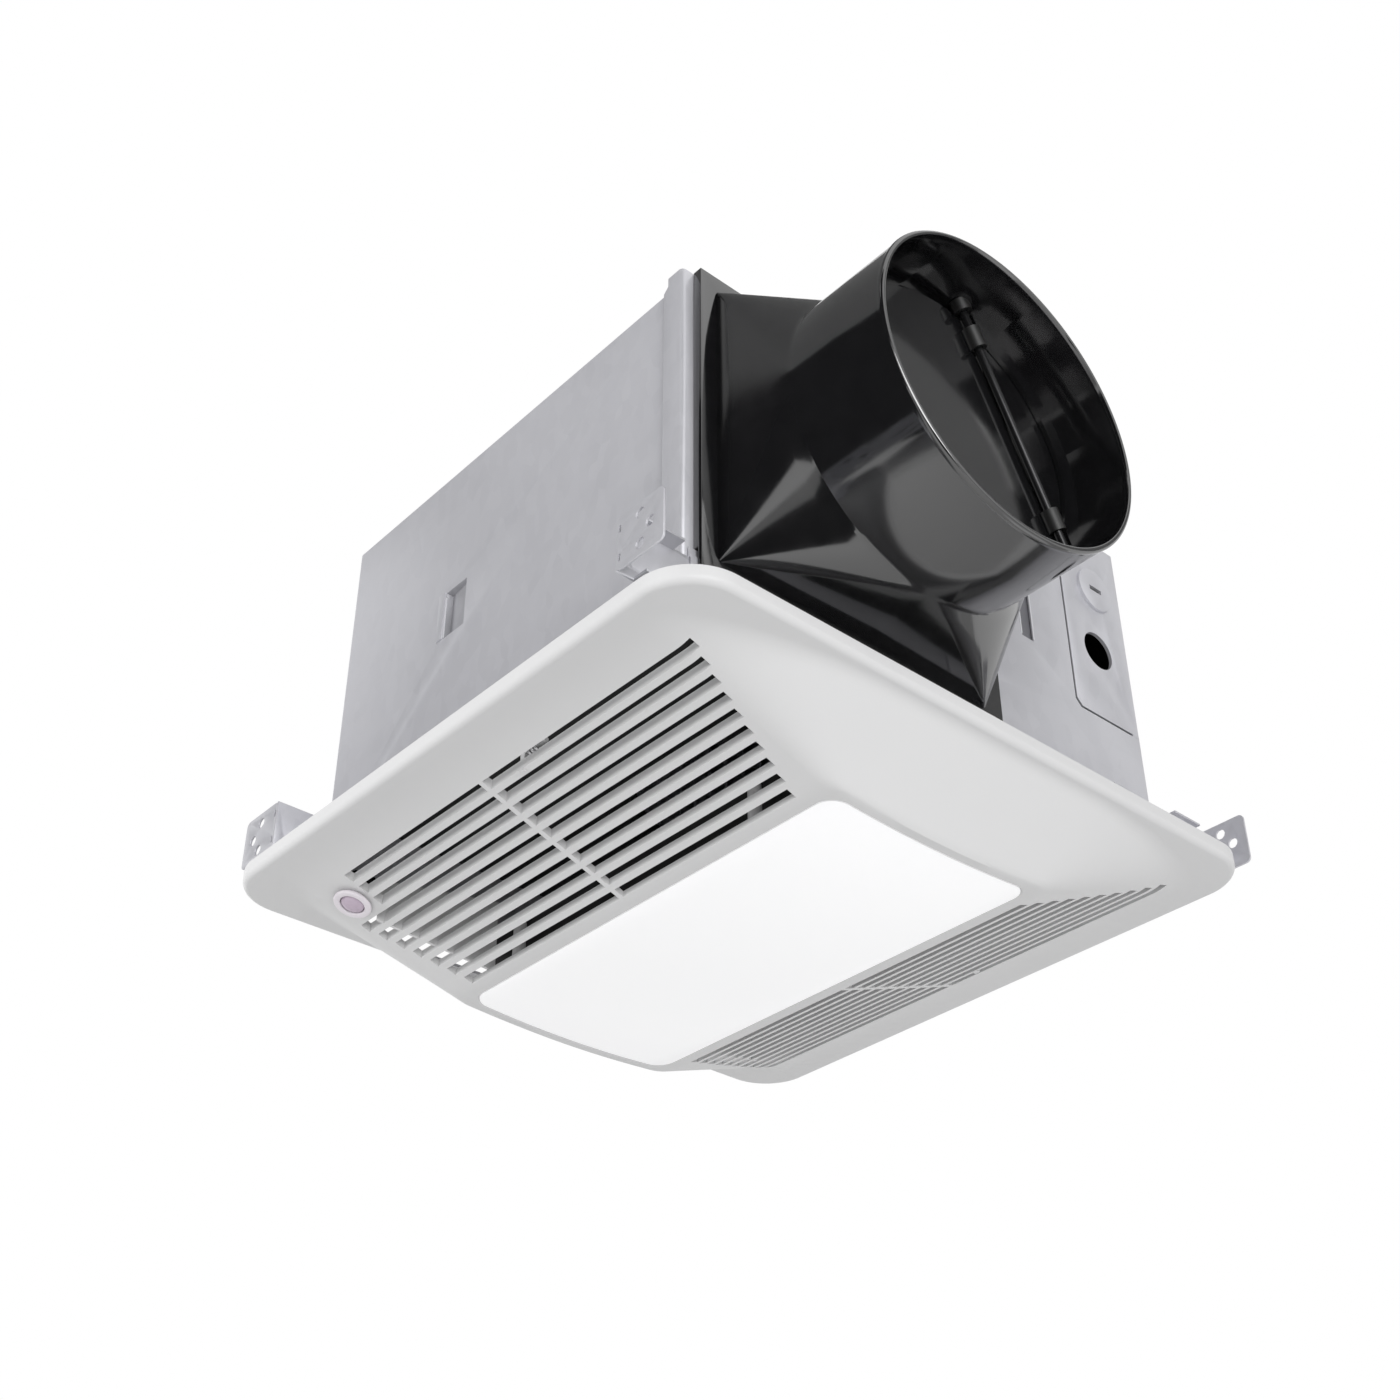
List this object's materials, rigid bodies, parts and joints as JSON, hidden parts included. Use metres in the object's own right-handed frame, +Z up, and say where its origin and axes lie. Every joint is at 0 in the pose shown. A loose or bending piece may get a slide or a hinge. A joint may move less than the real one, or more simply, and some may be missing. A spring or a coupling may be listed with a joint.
{
  "type": "bathroom exhaust fan",
  "caption": "Ceiling exhaust fan with louvred grille, light panel, motion sensor, side duct collar with damper and sliding hanger bars.",
  "frame": {"origin": "centre of the grille at the ceiling plane, on the top edge of the grille's rim", "axes": "+Z up into the ceiling, +X towards the duct collar, +Y along the hanger bars away from the motion sensor"},
  "size_m": [0.3911, 0.3568, 0.2324],
  "materials": {
    "galvanised": "satin galvanised",
    "bright_steel": "bright zinc",
    "black_plastic": "gloss",
    "white_plastic": "satin",
    "diffuser": "satin",
    "sensor_glass": "gloss",
    "board_green": "satin",
    "black_rubber": "matte",
    "dark_steel": "satin",
    "grey_plastic": "satin",
    "green_paint": "satin"
  },
  "bodies": {
    "housing": {"adapter_screw_lower": "bright_steel", "adapter_screw_upper": "bright_steel", "bar_guide_duct_back": "galvanised", "bar_guide_duct_near": "galvanised", "bar_guide_far_back": "galvanised", "bar_guide_far_near": "galvanised", "blower_plug": "white_plastic", "blower_socket": "white_plastic", "damper_pin": "bright_steel", "duct_adapter": "black_plastic", "duct_side_panel": "galvanised", "ground_screw": "green_paint", "housing_shell": "galvanised", "inlet_plate": "dark_steel", "inlet_screw_1": "bright_steel", "inlet_screw_2": "bright_steel", "inlet_screw_3": "bright_steel", "inlet_screw_4": "bright_steel", "light_socket": "white_plastic", "motor_can": "dark_steel", "motor_grommet_1": "black_rubber", "motor_grommet_2": "black_rubber", "motor_grommet_3": "black_rubber", "motor_lead": "black_rubber", "motor_plate": "galvanised", "motor_screw_1": "bright_steel", "motor_screw_2": "bright_steel", "motor_screw_3": "bright_steel", "motor_screw_4": "bright_steel", "run_capacitor": "black_plastic", "scroll_casing": "galvanised", "spring_bracket_back": "galvanised", "spring_bracket_near": "galvanised", "wiring_box": "galvanised", "wiring_cover": "galvanised"},
    "blower": {"blower_wheel": "galvanised", "motor_shaft": "bright_steel", "wheel_nut": "bright_steel"},
    "damper": {"damper_flap": "black_plastic", "damper_seal": "black_rubber"},
    "grille_panel": {"grille": "white_plastic", "light_lens": "diffuser", "light_tray": "galvanised", "led_board": "board_green", "led_driver": "grey_plastic", "tray_screw_1": "bright_steel", "tray_screw_2": "bright_steel", "tray_screw_3": "bright_steel", "tray_screw_4": "bright_steel", "sensor_bezel": "white_plastic", "sensor_lens": "sensor_glass", "sensor_module": "black_plastic", "torsion_spring_near": "bright_steel", "torsion_spring_back": "bright_steel"},
    "bar_duct_near": {"hanger_bar_duct_near": "galvanised"},
    "bar_duct_back": {"hanger_bar_duct_back": "galvanised"},
    "bar_far_near": {"hanger_bar_far_near": "galvanised"},
    "bar_far_back": {"hanger_bar_far_back": "galvanised"}
  },
  "joints": [
    {"name": "wheel_spin", "type": "hinge", "parent": "housing", "child": "blower", "pos_m": [0.005, 0.01, 0.097], "axis": [0, 0, 1], "continuous": true},
    {"name": "damper_hinge", "type": "hinge", "parent": "housing", "child": "damper", "pos_m": [0.201, -0.02042, 0.12238], "axis": [0, -0.4372, 0.8994], "range_deg": [0, 65]},
    {"name": "grille_drop", "type": "slide", "parent": "housing", "child": "grille_panel", "axis": [0, 0, -1], "range_m": [0, 0.08], "stiffness_N_per_m": 600, "springref_m": -0.02, "deforming": ["torsion_spring_near", "torsion_spring_back"]},
    {"name": "bar_slide_duct_near", "type": "slide", "parent": "housing", "child": "bar_duct_near", "axis": [0, -1, 0], "range_m": [-0.0074, 0.1073]},
    {"name": "bar_slide_duct_back", "type": "slide", "parent": "housing", "child": "bar_duct_back", "axis": [0, 1, 0], "range_m": [-0.0074, 0.1073]},
    {"name": "bar_slide_far_near", "type": "slide", "parent": "housing", "child": "bar_far_near", "axis": [0, -1, 0], "range_m": [0, 0.1147]},
    {"name": "bar_slide_far_back", "type": "slide", "parent": "housing", "child": "bar_far_back", "axis": [0, 1, 0], "range_m": [0, 0.1147]}
  ]
}
